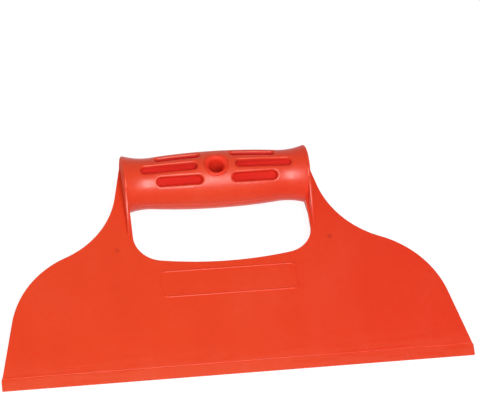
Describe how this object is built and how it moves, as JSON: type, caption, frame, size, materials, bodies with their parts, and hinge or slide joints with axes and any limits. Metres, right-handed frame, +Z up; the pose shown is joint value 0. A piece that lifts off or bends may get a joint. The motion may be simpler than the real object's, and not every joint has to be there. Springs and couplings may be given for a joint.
{
  "type": "bowl scraper",
  "caption": "Wide plastic hand scraper with a thin straight working edge, round shoulders, a hand hole and a slotted tubular bar grip with a hanging hole.",
  "frame": {"origin": "centre of the footprint, on the ground, with the tool lying face up on its working edge and the two flared ends of its grip", "axes": "+X along the working edge, +Y from the working edge towards the grip, +Z up; the plate's face leans back by 7.01 degrees about X"},
  "size_m": [0.28, 0.1524, 0.036],
  "materials": {
    "plate_plastic": "smooth satin gloss, orange-red moulded plastic",
    "lip_plastic": "smooth satin gloss, slightly paler orange-red flexible plastic",
    "grip_plastic": "satin gloss, orange-red moulded plastic",
    "sleeve_plastic": "satin gloss, orange-red moulded plastic",
    "screw_steel": "zinc-plated steel, satin"
  },
  "bodies": {
    "root": {"blade_plate": "plate_plastic", "edge_lip": "lip_plastic", "grip_front_shell": "grip_plastic", "grip_rear_shell": "grip_plastic", "hang_sleeve": "sleeve_plastic", "shell_screws": "screw_steel"}
  },
  "joints": []
}
